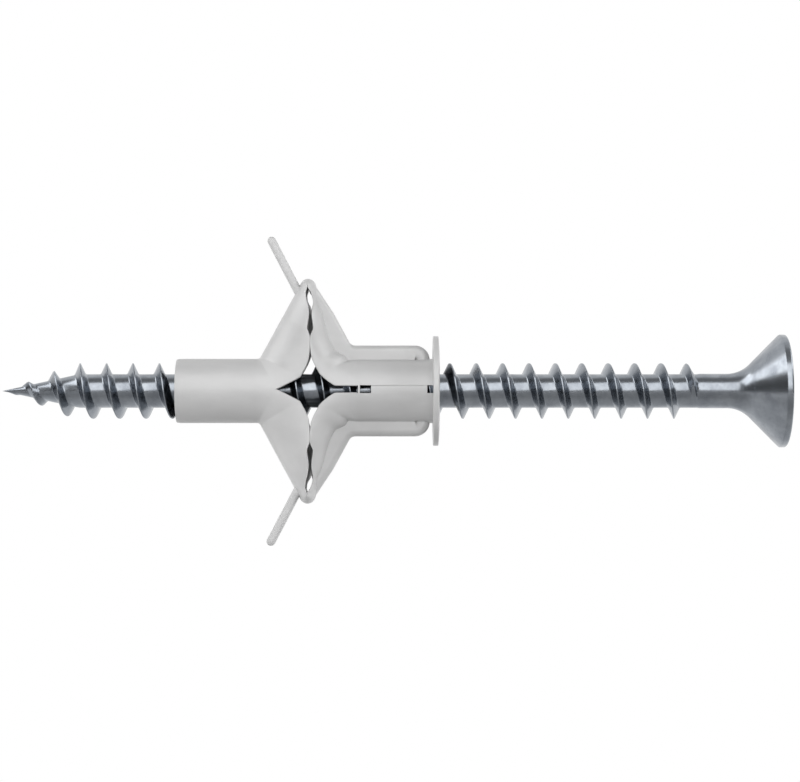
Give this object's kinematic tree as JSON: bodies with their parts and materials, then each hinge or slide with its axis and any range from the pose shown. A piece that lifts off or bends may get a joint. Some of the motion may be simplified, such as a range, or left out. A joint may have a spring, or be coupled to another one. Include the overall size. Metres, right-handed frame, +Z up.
{
  "type": "wall plug",
  "caption": "Folding nylon wall plug in its set state: collar, ribbed rear sleeve, outward-folded barbed legs and front sleeve on a countersunk wood screw.",
  "frame": {"origin": "centre of the collar's wall-side face, on the axis of the screw", "axes": "+X along the screw, out of the wall towards the head; +Z up, towards one of the two wings; +Y completes the frame"},
  "size_m": [0.1, 0.0144, 0.0394],
  "materials": {
    "nylon": "moulded satin",
    "zinc_steel": "bright zinc plating"
  },
  "bodies": {
    "plug": {"plug": "nylon"},
    "screw": {"screw": "zinc_steel"}
  },
  "joints": [
    {"name": "screw_turn", "type": "hinge", "parent": "plug", "child": "screw", "pos_m": [0, 0, 0], "axis": [1, 0, 0], "continuous": true}
  ]
}
